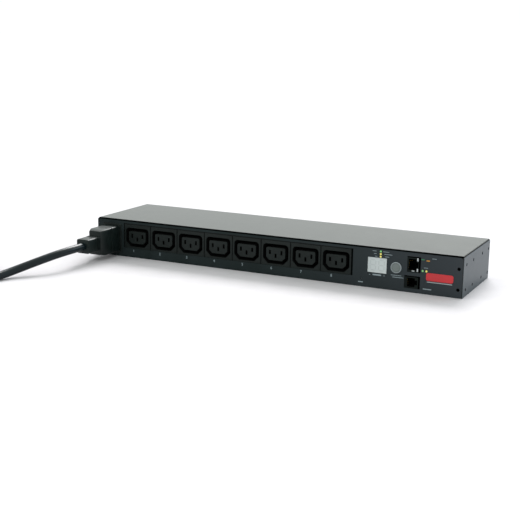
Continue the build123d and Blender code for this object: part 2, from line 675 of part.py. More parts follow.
# ================================================================ network board and jacks
NETWORK_BACK = 8.0
with BuildPart() as network_board:
    with BuildSketch(end_view(NETWORK_BOARD_X)):
        with Locations((NETWORK_FRONT, 3.0)):
            Rectangle(NETWORK_BACK - NETWORK_FRONT, 37.5, align=(Align.MIN, Align.MIN))
        with Locations((-8, 12), (0, 12)):
            Circle(1.5, mode=Mode.SUBTRACT)
    extrude(amount=BOARD)
network_board.part.label = "network_board"
export_step(network_board.part, "parts/network_board.step")

CHIPS = [
    (-36, 14, 14.0, 14.0, 1.4),
    (-36, 32, 13.0, 9.0, 2.2),
    (-18, 32, 8.0, 11.0, 1.2),
    (-20, 16, 6.0, 4.0, 3.0),
    (-4, 30, 10.0, 7.0, 1.6),
]
with BuildPart() as network_chips:
    for chip_y, chip_z, chip_long, chip_tall, chip_thick in CHIPS:
        with BuildSketch(end_view(NETWORK_BOARD_X + BOARD)):
            with Locations((chip_y, chip_z)):
                Rectangle(chip_long, chip_tall)
        extrude(amount=chip_thick)
network_chips.part.label = "network_chips"
export_step(network_chips.part, "parts/network_chips.step")

# The network jack lies on its side: a plated shell round a moulded insert, with the latch
# notch towards the board and eight wires on the far side. The front collar of each jack is
# narrower than the body behind, which leaves a dark step beside it and above it.
JACK_FRONT = 0.3                # its face, behind the panel's face
JACK_LENGTH = 21.0
COLLAR = 3.0                    # how far back the narrower front of a jack runs
COLLAR_STEP_X = 2.0
COLLAR_STEP_Z = 1.1
SHELL = 0.3
JACK_MIDDLE = sum(ETHERNET_Z) / 2 - 0.3
PORT_LEFT = 163.4
PORT_WIDTH = 8.6
PORT_HEIGHT = 12.0
NOTCH_WIDTH = 2.0
NOTCH_HEIGHT = 6.2


def jack_outline(x_range, z_range, shrink):
    """A jack's outline on the panel's plane, made smaller by this much all round."""
    with Locations((sum(x_range) / 2, sum(z_range) / 2)):
        Rectangle(x_range[1] - x_range[0] - 2 * shrink, z_range[1] - z_range[0] - 2 * shrink)


def collar_of(x_range, z_range):
    """The narrower outline of a jack's front collar."""
    return (x_range[0], x_range[1] - COLLAR_STEP_X), (z_range[0], z_range[1] - COLLAR_STEP_Z)


ETHERNET_COLLAR = collar_of(ETHERNET_X, ETHERNET_Z)
with BuildPart() as ethernet_shell:
    with BuildSketch(front(JACK_FRONT)):
        jack_outline(*ETHERNET_COLLAR, 0)
    extrude(amount=-COLLAR)
    with BuildSketch(front(JACK_FRONT + COLLAR)):
        jack_outline(ETHERNET_X, ETHERNET_Z, 0)
    extrude(amount=-(JACK_LENGTH - COLLAR))
    with BuildSketch(front(JACK_FRONT + SHELL)):
        jack_outline(*ETHERNET_COLLAR, SHELL)
    extrude(amount=-COLLAR, mode=Mode.SUBTRACT)
    with BuildSketch(front(JACK_FRONT + COLLAR + SHELL)):
        jack_outline(ETHERNET_X, ETHERNET_Z, SHELL)
    extrude(amount=-JACK_LENGTH, mode=Mode.SUBTRACT)
    with BuildSketch(front(0)):
        with Locations((PORT_LEFT, JACK_MIDDLE)):
            Rectangle(PORT_WIDTH, PORT_HEIGHT + 0.4, align=(Align.MIN, Align.CENTER))
        with Locations((PORT_LEFT + PORT_WIDTH, JACK_MIDDLE)):
            Rectangle(NOTCH_WIDTH, NOTCH_HEIGHT + 0.4, align=(Align.MIN, Align.CENTER))
    extrude(amount=-JACK_LENGTH / 2, mode=Mode.SUBTRACT)
ethernet_shell.part.label = "ethernet_shell"
export_step(ethernet_shell.part, "parts/ethernet_shell.step")

PORT_DEPTH = 14.0
with BuildPart() as ethernet_insert:
    with BuildSketch(front(JACK_FRONT + SHELL)):
        jack_outline(*ETHERNET_COLLAR, SHELL)
    extrude(amount=-COLLAR)
    with BuildSketch(front(JACK_FRONT + COLLAR + SHELL)):
        jack_outline(ETHERNET_X, ETHERNET_Z, SHELL)
    extrude(amount=-(JACK_LENGTH - COLLAR - 2 * SHELL))
    with BuildSketch(front(0)):
        with Locations((PORT_LEFT, JACK_MIDDLE)):
            Rectangle(PORT_WIDTH, PORT_HEIGHT, align=(Align.MIN, Align.CENTER))
        with Locations((PORT_LEFT + PORT_WIDTH, JACK_MIDDLE)):
            Rectangle(NOTCH_WIDTH, NOTCH_HEIGHT, align=(Align.MIN, Align.CENTER))
    extrude(amount=-PORT_DEPTH, mode=Mode.SUBTRACT)
ethernet_insert.part.label = "ethernet_insert"
export_step(ethernet_insert.part, "parts/ethernet_insert.step")

# A jack's wires are flat springs that slope back from the mouth towards the far wall.
with BuildPart() as ethernet_contacts:
    for wire in range(8):
        wire_z = JACK_MIDDLE + (wire - 3.5) * 1.02
        with BuildSketch(Plane.XY.offset(wire_z - 0.2)):
            with BuildLine():
                Polyline(
                    (PORT_LEFT, FRONT + 2.4),
                    (PORT_LEFT + 0.3, FRONT + 2.4),
                    (PORT_LEFT + 2.6, FRONT + 10.5),
                    (PORT_LEFT + 2.2, FRONT + 10.6),
                    (PORT_LEFT, FRONT + 3.6),
                    close=True,
                )
            make_face()
        extrude(amount=0.4)
ethernet_contacts.part.label = "ethernet_contacts"
export_step(ethernet_contacts.part, "parts/ethernet_contacts.step")

SERIAL_MIDDLE = 10.6
SERIAL_LEFT = 162.6
SERIAL_PORT = (8.2, 9.6)        # width and height of the port, and of its latch notch
SERIAL_NOTCH = (2.6, 5.0)
with BuildPart() as serial_jack:
    with BuildSketch(front(JACK_FRONT)):
        jack_outline(*collar_of(SERIAL_X, SERIAL_Z), 0)
    extrude(amount=-COLLAR)
    with BuildSketch(front(JACK_FRONT + COLLAR)):
        jack_outline(SERIAL_X, SERIAL_Z, 0)
    extrude(amount=-(16.0 - COLLAR))
    with BuildSketch(front(0)):
        with Locations((SERIAL_LEFT, SERIAL_MIDDLE)):
            Rectangle(*SERIAL_PORT, align=(Align.MIN, Align.CENTER))
        with Locations((SERIAL_LEFT + SERIAL_PORT[0], SERIAL_MIDDLE)):
            Rectangle(*SERIAL_NOTCH, align=(Align.MIN, Align.CENTER))
    extrude(amount=-13, mode=Mode.SUBTRACT)
serial_jack.part.label = "serial_jack"
export_step(serial_jack.part, "parts/serial_jack.step")

with BuildPart() as serial_contacts:
    for wire in range(6):
        wire_z = SERIAL_MIDDLE + (wire - 2.5) * 1.27
        with BuildSketch(Plane.XY.offset(wire_z - 0.25)):
            with BuildLine():
                Polyline(
                    (SERIAL_LEFT, FRONT + 1.6),
                    (SERIAL_LEFT + 0.3, FRONT + 1.6),
                    (SERIAL_LEFT + 2.4, FRONT + 9.0),
                    (SERIAL_LEFT + 2.0, FRONT + 9.1),
                    (SERIAL_LEFT, FRONT + 2.8),
                    close=True,
                )
            make_face()
        extrude(amount=0.5)
serial_contacts.part.label = "serial_contacts"
export_step(serial_contacts.part, "parts/serial_contacts.step")

# A flat ribbon joins the back of the display board to the network board.
RIBBON = 0.9
with BuildPart() as ribbon_cable:
    display_back = FRONT + DISPLAY_BOARD_DEPTH + BOARD
    with BuildSketch(Plane.XY.offset(20)):
        with BuildLine() as ribbon_line:
            FilletPolyline(
                (146, display_back + RIBBON / 2),
                (146, -26.5),
                (NETWORK_BOARD_X - RIBBON / 2, -26.5),
                radius=4,
            )
            offset(amount=RIBBON / 2, side=Side.BOTH, closed=True)
        make_face()
    extrude(amount=10)
ribbon_cable.part.label = "ribbon_cable"
export_step(ribbon_cable.part, "parts/ribbon_cable.step")

# ================================================================ standoffs and screws
with BuildPart() as board_standoffs:
    with BuildSketch(Plane.XY.offset(SHEET)):
        with Locations(POWER_SCREWS):
            RegularPolygon(2.75, 6, major_radius=False)
            Circle(1.25, mode=Mode.SUBTRACT)
    extrude(amount=POWER_BOARD_Z - SHEET)
    with BuildSketch(front(SHEET)):
        with Locations(DISPLAY_SCREWS):
            RegularPolygon(2.25, 6, major_radius=False)
            Circle(1.25, mode=Mode.SUBTRACT)
    extrude(amount=-(DISPLAY_BOARD_DEPTH - SHEET))
board_standoffs.part.label = "board_standoffs"
export_step(board_standoffs.part, "parts/board_standoffs.step")

with BuildPart() as board_screws:
    for screw_x, screw_y in POWER_SCREWS:
        with Locations((screw_x, screw_y, POWER_TOP)):
            Cylinder(2.7, 1.8, align=(Align.CENTER, Align.CENTER, Align.MIN))
            Cylinder(1.2, 6.5, align=(Align.CENTER, Align.CENTER, Align.MAX))
    with BuildSketch(front(DISPLAY_BOARD_DEPTH + BOARD)):
        with Locations(DISPLAY_SCREWS):
            Circle(2.4)
    extrude(amount=-1.6)
    with BuildSketch(front(DISPLAY_BOARD_DEPTH + BOARD)):
        with Locations(DISPLAY_SCREWS):
            Circle(1.2)
    extrude(amount=6.0)
    with BuildSketch(end_view(NETWORK_BOARD_X)):
        with Locations((-8, 12), (0, 12)):
            Circle(2.4)
    extrude(amount=-1.6)
    with BuildSketch(end_view(NETWORK_BOARD_X)):
        with Locations((-8, 12), (0, 12)):
            Circle(1.2)
    extrude(amount=5.0)
board_screws.part.label = "board_screws"
export_step(board_screws.part, "parts/board_screws.step")

# ================================================================ mains cord
# The plug is moulded in one on the cord: a nose with three slots, a square body with a
# seam, sloped shoulders, a ribbed neck and a square end where the cord comes out.
PLUG_WIDTH = 21.0
PLUG_TALL = 30.0
PLUG_FACE = -DEPTH / 2 - SLIDING_GAP
SHOULDER_START = -83.0
SHOULDER = -90.0
NECK_END = -97.0


def plug_plane(y):
    """A plane across the plug at this Y, facing the viewer."""
    return Plane(origin=(INLET_X, y, INLET_Z), x_dir=(1, 0, 0), z_dir=(0, -1, 0))


with BuildPart() as supply_plug:
    with BuildSketch(plug_plane(PLUG_FACE)):
        RectangleRounded(PLUG_WIDTH, PLUG_TALL, 1.4)
    extrude(amount=PLUG_FACE - SHOULDER_START)
    with BuildSketch(plug_plane(SHOULDER_START)):
        RectangleRounded(PLUG_WIDTH, PLUG_TALL, 1.4)
    with BuildSketch(plug_plane(SHOULDER)):
        RectangleRounded(PLUG_WIDTH - 5.6, PLUG_TALL - 2.4, 1.4)
    loft()
    with BuildSketch(plug_plane(-70.3)):
        RectangleRounded(PLUG_WIDTH, PLUG_TALL, 1.4)
        RectangleRounded(PLUG_WIDTH - 0.7, PLUG_TALL - 0.7, 1.1, mode=Mode.SUBTRACT)
    extrude(amount=0.7, mode=Mode.SUBTRACT)
    with BuildSketch(plug_plane(SHOULDER)):
        RectangleRounded(13.6, 15.0, 1.2)
    extrude(amount=SHOULDER - NECK_END)
    for rib in range(3):
        with BuildSketch(plug_plane(SHOULDER - 1.1 - rib * 2.1)):
            RectangleRounded(15.6, 16.6, 1.6)
        extrude(amount=1.1)
    with BuildSketch(plug_plane(NECK_END)):
        RectangleRounded(16.0, 16.0, 1.6)
    extrude(amount=NECK_END - PLUG_END)
    with BuildSketch(plug_plane(PLUG_FACE)):
        RectangleRounded(NOSE_WIDTH, NOSE_HEIGHT, 2.0)
    extrude(amount=-NOSE_LENGTH)
    for pin_x, pin_z in PINS.values():
        with BuildSketch(plug_plane(PLUG_FACE + NOSE_LENGTH)):
            with Locations((pin_x, pin_z)):
                Rectangle(PIN_THICK + 0.8, PIN_TALL + 0.8)
        extrude(amount=NOSE_LENGTH + 2.0, mode=Mode.SUBTRACT)
        with BuildSketch(plug_plane(PLUG_FACE + NOSE_LENGTH - 3.0)):
            with Locations((pin_x, pin_z)):
                Rectangle(PIN_THICK + 2.0, PIN_TALL + 1.0)
        extrude(amount=NOSE_LENGTH - 1.0, mode=Mode.SUBTRACT)
supply_plug.part.label = "supply_plug"
export_step(supply_plug.part, "parts/supply_plug.step")

with BuildPart() as supply_plug_contacts:
    for pin_x, pin_z in PINS.values():
        for side in (-1, 1):
            leaf_x = INLET_X + pin_x + side * (PIN_THICK / 2 + 0.6)
            with Locations((leaf_x, PLUG_FACE + NOSE_LENGTH - 3.2, INLET_Z + pin_z)):
                Box(0.5, 15.6, 7.6, align=(Align.CENTER, Align.MAX, Align.CENTER))
supply_plug_contacts.part.label = "supply_plug_contacts"
export_step(supply_plug_contacts.part, "parts/supply_plug_contacts.step")

# The coil: its outer turn is met along a tangent, at the angle that the cord comes in on.
OUTER_TURN = COIL_TURNS[-1]
ENTRY_DIRECTION = Vector(-0.24, -0.9708, 0).normalized()
ENTRY_NORMAL = Vector(-ENTRY_DIRECTION.Y, ENTRY_DIRECTION.X, 0)
COIL_CENTRE = Vector(COIL_X, COIL_Y, 0)
TANGENT_POINT = COIL_CENTRE + ENTRY_NORMAL * OUTER_TURN
STUB_LENGTH = 34.0
CORD_END = TANGENT_POINT - ENTRY_DIRECTION * STUB_LENGTH + Vector(0, 0, CORD_RADIUS)

CORD_ROUTE = [
    (INLET_X, PLUG_END, 21.0),
    (INLET_X, -134.0, 21.0),
    (-207.8, -154.5, 18.9),
    (-219.3, -176.5, 13.4),
    (-230.4, -199.0, 7.6),
    (-235.0, -213.0, 5.1),
    (CORD_END.X, CORD_END.Y, CORD_END.Z),
]
points = [Vector(*point) for point in CORD_ROUTE]
runs = [after - before for before, after in zip(points, points[1:])]
bends = []
for run_in, run_out in zip(runs, runs[1:]):
    turn = run_in.get_angle(run_out)
    shorter = min(run_in.length, run_out.length)
    bends.append(0.45 * shorter / math.tan(math.radians(turn / 2)))
print("cord runs mm", [round(run.length, 1) for run in runs])
print("cord radii mm", [round(bend, 1) for bend in bends])

with BuildPart() as power_cord:
    with BuildLine() as cord_path:
        FilletPolyline(*CORD_ROUTE, radius=bends)
    with BuildSketch(Plane(origin=cord_path.line @ 0, z_dir=cord_path.line % 0)):
        Circle(CORD_RADIUS)
    sweep(path=cord_path.line)
power_cord.part.label = "power_cord"
export_step(power_cord.part, "parts/power_cord.step")
cord_length = sum(edge.length for edge in cord_path.edges())
print("cord tube mm", round(cord_length, 1))
print("volume ratio", power_cord.part.volume / (math.pi * CORD_RADIUS**2 * cord_length))

# The coil is a flat ring two layers high, with a short straight stub where the cord comes
# in at the bottom and another where it goes out at the top, to the far plug.
TAIL_LENGTH = 36.0
TAIL_Z = CORD_RADIUS * (2 * COIL_LAYERS - 1)
TAIL_X = COIL_X - OUTER_TURN
TIE_ANGLE = 65.0
TIE_WIDTH = 14.0
TIE_THICK = 1.0
COIL_INNER = COIL_TURNS[0] - CORD_RADIUS
COIL_OUTER = OUTER_TURN + CORD_RADIUS
COIL_TALL = 2 * CORD_RADIUS * COIL_LAYERS
with BuildPart() as cord_coil:
    with BuildSketch(Plane.XY):
        with Locations((COIL_X, COIL_Y)):
            Circle(COIL_OUTER)
            Circle(COIL_INNER, mode=Mode.SUBTRACT)
    extrude(amount=COIL_TALL)
    fillet(cord_coil.edges(), 2.5)
    entry_plane = Plane(
        origin=(CORD_END.X, CORD_END.Y, CORD_END.Z),
        z_dir=(ENTRY_DIRECTION.X, ENTRY_DIRECTION.Y, 0),
    )
    with BuildSketch(entry_plane):
        Circle(STUB_RADIUS)
    extrude(amount=STUB_LENGTH)
    exit_plane = Plane(origin=(TAIL_X, COIL_Y, TAIL_Z), z_dir=(0, 1, 0))
    with BuildSketch(exit_plane):
        Circle(STUB_RADIUS)
    extrude(amount=TAIL_LENGTH)
cord_coil.part.label = "cord_coil"
export_step(cord_coil.part, "parts/cord_coil.step")

# A strap round all the turns keeps the coil together.
tie_middle = (COIL_INNER + COIL_OUTER) / 2
tie_cos = math.cos(math.radians(TIE_ANGLE))
tie_sin = math.sin(math.radians(TIE_ANGLE))
tie_plane = Plane(
    origin=(COIL_X + tie_middle * tie_cos, COIL_Y + tie_middle * tie_sin, COIL_TALL / 2),
    x_dir=(tie_cos, tie_sin, 0),
    z_dir=(tie_sin, -tie_cos, 0),
)
with BuildPart() as cord_tie:
    tie_wide = COIL_OUTER - COIL_INNER + 2 * TIE_THICK + 1.2
    with BuildSketch(tie_plane):
        with Locations((0, TIE_THICK / 2)):
            RectangleRounded(tie_wide, COIL_TALL + TIE_THICK, 3.0)
            RectangleRounded(
                tie_wide - 2 * TIE_THICK,
                COIL_TALL - TIE_THICK,
                2.0,
                mode=Mode.SUBTRACT,
            )
    extrude(amount=TIE_WIDTH / 2, both=True)
cord_tie.part.label = "cord_tie"
export_step(cord_tie.part, "parts/cord_tie.step")

# The far plug lies beside the coil: a tapered neck, a square body, a shroud and flat pins.
FAR_START = COIL_Y + TAIL_LENGTH
FAR_NECK = 20.0
FAR_BODY = 44.0
FAR_WIDE = 33.0
FAR_TALL = 2 * TAIL_Z


def far_plane(distance):
    """A plane across the far plug, this far from where its cord comes in."""
    return Plane(
        origin=(TAIL_X, FAR_START + distance, TAIL_Z),
        x_dir=(1, 0, 0),
        z_dir=(0, -1, 0),
    )


with BuildPart() as far_plug:
    with BuildSketch(far_plane(0)):
        RectangleRounded(11.0, 11.0, 3.0)
    with BuildSketch(far_plane(FAR_NECK)):
        RectangleRounded(16.0, 16.0, 3.0)
    loft()
    with BuildSketch(far_plane(FAR_NECK)):
        RectangleRounded(23.0, 20.0, 4.0)
    with BuildSketch(far_plane(FAR_NECK + 10)):
        RectangleRounded(FAR_WIDE, FAR_TALL, 4.0)
    loft()
    with BuildSketch(far_plane(FAR_NECK + 10)):
        RectangleRounded(FAR_WIDE, FAR_TALL, 4.0)
    extrude(amount=-(FAR_BODY - 10))
    with BuildSketch(far_plane(FAR_NECK + FAR_BODY)):
        RectangleRounded(28.4, 20.4, 2.3)
    extrude(amount=18.5, mode=Mode.SUBTRACT)
    for pin_x, pin_z in ((PIN_SPAN / 2, -4), (-PIN_SPAN / 2, -4), (0, 4)):
        with BuildSketch(far_plane(FAR_NECK + FAR_BODY - 18.5)):
            with Locations((pin_x, pin_z)):
                Rectangle(PIN_TALL, PIN_THICK)
        extrude(amount=6, mode=Mode.SUBTRACT)
far_plug.part.label = "far_plug"
export_step(far_plug.part, "parts/far_plug.step")

with BuildPart() as far_plug_pins:
    for pin_x, pin_z in ((PIN_SPAN / 2, -4), (-PIN_SPAN / 2, -4), (0, 4)):
        with BuildSketch(far_plane(FAR_NECK + FAR_BODY - 3.0)):
            with Locations((pin_x, pin_z)):
                Rectangle(PIN_TALL, PIN_THICK)
        extrude(amount=21.5)
    far_tips = far_plug_pins.faces().filter_by(Axis.Y).group_by(Axis.Y)[-1].edges()
    chamfer(far_tips, 0.4)
far_plug_pins.part.label = "far_plug_pins"
export_step(far_plug_pins.part, "parts/far_plug_pins.step")
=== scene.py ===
import json
import math

import bmesh
import bpy
from mathutils import Matrix, Vector

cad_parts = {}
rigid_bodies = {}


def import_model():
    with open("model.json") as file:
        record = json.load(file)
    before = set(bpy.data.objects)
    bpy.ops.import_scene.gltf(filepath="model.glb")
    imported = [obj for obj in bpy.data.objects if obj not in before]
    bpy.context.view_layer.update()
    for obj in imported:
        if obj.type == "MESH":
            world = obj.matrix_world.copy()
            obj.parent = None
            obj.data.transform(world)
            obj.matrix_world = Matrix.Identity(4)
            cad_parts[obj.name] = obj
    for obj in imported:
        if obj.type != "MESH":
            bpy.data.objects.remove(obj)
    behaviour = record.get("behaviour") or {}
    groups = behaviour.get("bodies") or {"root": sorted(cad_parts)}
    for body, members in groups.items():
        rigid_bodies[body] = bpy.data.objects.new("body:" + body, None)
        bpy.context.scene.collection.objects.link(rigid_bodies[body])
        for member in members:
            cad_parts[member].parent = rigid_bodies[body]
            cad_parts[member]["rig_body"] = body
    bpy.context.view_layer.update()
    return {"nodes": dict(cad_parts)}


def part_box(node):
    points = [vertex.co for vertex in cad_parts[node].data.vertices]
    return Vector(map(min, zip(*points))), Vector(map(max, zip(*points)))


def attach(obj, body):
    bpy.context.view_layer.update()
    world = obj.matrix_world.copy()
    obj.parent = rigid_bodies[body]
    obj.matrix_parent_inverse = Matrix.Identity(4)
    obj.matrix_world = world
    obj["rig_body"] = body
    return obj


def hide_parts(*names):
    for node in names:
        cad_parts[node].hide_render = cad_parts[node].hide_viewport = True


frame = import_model()

# ---------------------------------------------------------------- camera
# A long lens looks down on the strip from the right of its front, so that the panel, the
# cover and the right end all show.
CAMERA_PLACE = (0.4875, -1.0914, 0.2723)
CAMERA_TURN = 25.50             # degrees to the left of straight ahead
CAMERA_DOWN = 12.60             # degrees below level
CAMERA_ROLL = 0.95              # degrees
LENS = 73.5                     # mm, on a 36 mm sensor
NEAREST_SEEN = 0.02
FARTHEST_SEEN = 50

bpy.ops.object.camera_add(location=CAMERA_PLACE)
camera = bpy.context.object
camera.rotation_euler = (
    Matrix.Rotation(math.radians(CAMERA_TURN), 3, "Z")
    @ Matrix.Rotation(math.radians(90 - CAMERA_DOWN), 3, "X")
    @ Matrix.Rotation(math.radians(CAMERA_ROLL), 3, "Z")
).to_euler()
camera.data.lens = LENS
camera.data.clip_start = NEAREST_SEEN
camera.data.clip_end = FARTHEST_SEEN
bpy.context.scene.camera = camera
bpy.context.scene.view_settings.view_transform = "Standard"

# ---------------------------------------------------------------- mains cord
# A round three-core flex with a satin black PVC sheath, 9 mm thick. It drops from the plug to
# the floor in one long curve, and its spare length is wound into five and a half tied turns.
MM = 0.001
CORD_THICK = 0.009
CORD_ROUTE = [
    (-0.2018, -0.1140, 0.0210),
    (-0.2018, -0.1340, 0.0210),
    (-0.2078, -0.1545, 0.0189),
    (-0.2193, -0.1765, 0.0134),
    (-0.2304, -0.1990, 0.0076),
    (-0.2350, -0.2130, 0.0051),
    (-0.2376, -0.2244, 0.0045),
]
COIL_MIDDLE = (-0.304, -0.243)
COIL_RINGS = (0.060, 0.051, 0.042)  # radius of each ring of turns, outermost first
COIL_START = -13.9              # degrees, where the cord meets the outermost ring
COIL_END = -1980.0              # where it leaves again, five and a half turns on
COIL_STEPS = 24                 # points for each turn
RING_CHANGE = 0.2               # part of a turn over which the cord moves to the next ring
CLIMB = (2.6, 2.8)              # turns between which it rises to the upper layer
TAIL = 0.036                    # straight stretch from the coil to the far plug


def ease(value, low, high):
    """0 below low, 1 above high, and a smooth rise between them."""
    part = min(max((value - low) / (high - low), 0), 1)
    return part * part * (3 - 2 * part)


def ring_radius(turn, turns):
    """How far the cord's line is from the coil's middle after this many turns."""
    outer, middle, inner = COIL_RINGS
    inward = ease(turn, 1 - RING_CHANGE, 1) + ease(turn, 2 - RING_CHANGE, 2)
    outward = ease(turn, turns - 2, turns - 2 + RING_CHANGE)
    outward += ease(turn, turns - 1, turns - 1 + RING_CHANGE)
    return outer - (outer - middle) * (inward - outward)


def coil_points():
    """The turns' points: three rings on the floor, inwards, then three on top, outwards."""
    turns = (COIL_START - COIL_END) / 360
    count = round(turns * COIL_STEPS)
    fuller = 1 / math.cos(math.pi / COIL_STEPS)
    points = []
    for step in range(count + 1):
        turn = turns * step / count
        angle = math.radians(COIL_START - 360 * turn)
        radius = ring_radius(turn, turns) * fuller
        points.append((
            COIL_MIDDLE[0] + radius * math.cos(angle),
            COIL_MIDDLE[1] + radius * math.sin(angle),
            CORD_THICK * (0.5 + ease(turn, *CLIMB)),
        ))
    return points


tail_x = COIL_MIDDLE[0] - COIL_RINGS[0]
tail_z = CORD_THICK * 1.5
cord_points = CORD_ROUTE + coil_points() + [
    (tail_x, COIL_MIDDLE[1] + TAIL * 0.5, tail_z),
    (tail_x, COIL_MIDDLE[1] + TAIL, tail_z),
]
cord_data = bpy.data.curves.new("mains_cord", "CURVE")
cord_data.dimensions = "3D"
cord_line = cord_data.splines.new("NURBS")
cord_line.points.add(len(cord_points) - 1)
for made_point, place in zip(cord_line.points, cord_points):
    made_point.co = (*place, 1)
cord_line.order_u = 3
cord_line.use_endpoint_u = True
cord_data.resolution_u = 6
cord_data.bevel_depth = CORD_THICK / 2
cord_data.bevel_resolution = 5
cord_data.use_fill_caps = True
mains_cord = bpy.data.objects.new("mains_cord", cord_data)
bpy.context.scene.collection.objects.link(mains_cord)

PATCH_SCALE = 45.0              # of a noise texture, for soft patches about 22 mm across
WAVE_SCALE = math.tau / 20      # a wave texture's scale for one stripe in each metre


def linear(hex_colour):
    """An sRGB hex colour as the linear one that a shader's socket takes."""
    parts = [int(hex_colour[at:at + 2], 16) / 255 for at in (1, 3, 5)]
    turned = [p / 12.92 if p <= 0.04045 else ((p + 0.055) / 1.055) ** 2.4 for p in parts]
    return (*turned, 1.0)


def add(tree, kind, values=None, links=None, **settings):
    """Adds a node with its settings, its sockets' values and what feeds its sockets."""
    made = tree.nodes.new(kind)
    for name, setting in settings.items():
        setattr(made, name, setting)
    for socket, value in (values or {}).items():
        made.inputs[socket].default_value = value
    for socket, source in (links or {}).items():
        tree.links.new(source, made.inputs[socket])
    return made


def surface(name, dark, light, grain, relief, rough,
            stretch=(1, 1, 1), bands=None, **sockets):
    """A solid finish: two close colours mixed in soft patches, with a fine grain in relief.

    grain is the grain's size in mm, relief its height in mm, and rough the lowest and
    highest roughness. stretch pulls the grain out along an axis where it is under 1. bands
    adds even stripes, and gives the axis that they are counted along and their pitch in mm.
    sockets are the shader's other inputs, such as IOR, with _ for a space in a name.
    """
    material = bpy.data.materials.new(name)
    material.use_nodes = True
    tree = material.node_tree
    shader = tree.nodes["Principled BSDF"]
    place = add(tree, "ShaderNodeTexCoord").outputs["Object"]
    pulled = add(tree, "ShaderNodeMapping", {"Scale": stretch}, {"Vector": place})
    fine = add(tree, "ShaderNodeTexNoise",
               {"Scale": 1 / (grain * MM), "Detail": 4.0, "Roughness": 0.6},
               {"Vector": pulled.outputs[0]})
    grainy = fine.outputs["Fac"]
    if bands:
        axis, pitch = bands
        stripes = add(tree, "ShaderNodeTexWave",
                      {"Scale": WAVE_SCALE / (pitch * MM), "Distortion": 0.4},
                      {"Vector": place}, bands_direction=axis)
        grainy = add(tree, "ShaderNodeMix", {0: 0.7},
                     {2: grainy, 3: stripes.outputs["Fac"]}).outputs[0]
    patches = add(tree, "ShaderNodeTexNoise", {"Scale": PATCH_SCALE, "Detail": 3.0},
                  {"Vector": pulled.outputs[0]})
    blend = add(tree, "ShaderNodeMath", {1: 0.5}, {0: grainy}, operation="MULTIPLY_ADD")
    tree.links.new(patches.outputs["Fac"], blend.inputs[2])
    spread = add(tree, "ShaderNodeMapRange", {"From Min": 0.5, "From Max": 1.0},
                 {"Value": blend.outputs[0]})
    ramp = add(tree, "ShaderNodeValToRGB", links={"Fac": spread.outputs[0]})
    ramp.color_ramp.elements[0].color = linear(dark)
    ramp.color_ramp.elements[1].color = linear(light)
    tree.links.new(ramp.outputs["Color"], shader.inputs["Base Color"])
    dull = add(tree, "ShaderNodeMapRange", {"To Min": rough[0], "To Max": rough[1]},
               {"Value": patches.outputs["Fac"]})
    tree.links.new(dull.outputs[0], shader.inputs["Roughness"])
    bump = add(tree, "ShaderNodeBump", {"Strength": 0.6, "Distance": relief * MM},
               {"Height": grainy})
    tree.links.new(bump.outputs[0], shader.inputs["Normal"])
    for socket, value in sockets.items():
        shader.inputs[socket.replace("_", " ")].default_value = value
    return material


# Drawn PVC: nearly black, satin, with faint marks a millimetre or so across.
sheath = surface("drawn_pvc_sheath", "#061013", "#0e1a1e", 1.4, 0.03, (0.28, 0.4),
                 Specular_IOR_Level=0.22)
mains_cord.data.materials.append(sheath)
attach(mains_cord, "supply_cord")
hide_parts("power_cord", "cord_coil")

# ---------------------------------------------------------------- room
# A pale paper sweep lies under a white sky. A wide soft sun behind throws the strip's shadow
# forwards and a little to the right, and a weak cool lamp lights its right end.
FLOOR_SIZE = 30
FLOOR_DROP = 0.0002             # keeps the floor just under what lies on it
SKY_COLOUR = (0.955, 1, 0.975, 1)
SKY_STRENGTH = 1.06
SUN_HEIGHT = 40.0               # degrees above the floor
SUN_TURN = 12.0                 # degrees from straight behind, towards the left
SUN_SPREAD = 30                 # degrees across, which softens the shadow's edge
SUN_STRENGTH = 3.6
LAMP_PLACE = (1.05, 1.15, 0.45)
LAMP_AIM = (-0.85, -1.15, -0.43)
LAMP_SIZE = 0.7
LAMP_POWER = 6
LAMP_COLOUR = (0.7, 0.85, 1.0)
bpy.ops.mesh.primitive_plane_add(size=FLOOR_SIZE, location=(0, 0, -FLOOR_DROP))
floor = bpy.context.object
floor.name = "floor"
floor.data.materials.append(
    surface("pale_paper_sweep", "#cbc8cb", "#d0cdd0", 3.0, 0.02, (0.9, 1.0),
            Specular_IOR_Level=0.0)
)
world = bpy.data.worlds.new("white_sky")
world.use_nodes = True
sky = world.node_tree.nodes["Background"]
sky.inputs["Color"].default_value = SKY_COLOUR
sky.inputs["Strength"].default_value = SKY_STRENGTH
bpy.context.scene.world = world

bpy.ops.object.light_add(type="SUN")
sun = bpy.context.object
sun.name = "soft_sun"
sun.data.energy = SUN_STRENGTH
sun.data.angle = math.radians(SUN_SPREAD)
sun.rotation_euler = (math.radians(SUN_HEIGHT - 90), 0, math.radians(SUN_TURN))

bpy.ops.object.light_add(type="AREA", location=LAMP_PLACE)
right_lamp = bpy.context.object
right_lamp.name = "right_lamp"
right_lamp.data.size = LAMP_SIZE
right_lamp.data.energy = LAMP_POWER
right_lamp.data.color = LAMP_COLOUR
right_lamp.rotation_euler = Vector(LAMP_AIM).to_track_quat("-Z", "Y").to_euler()

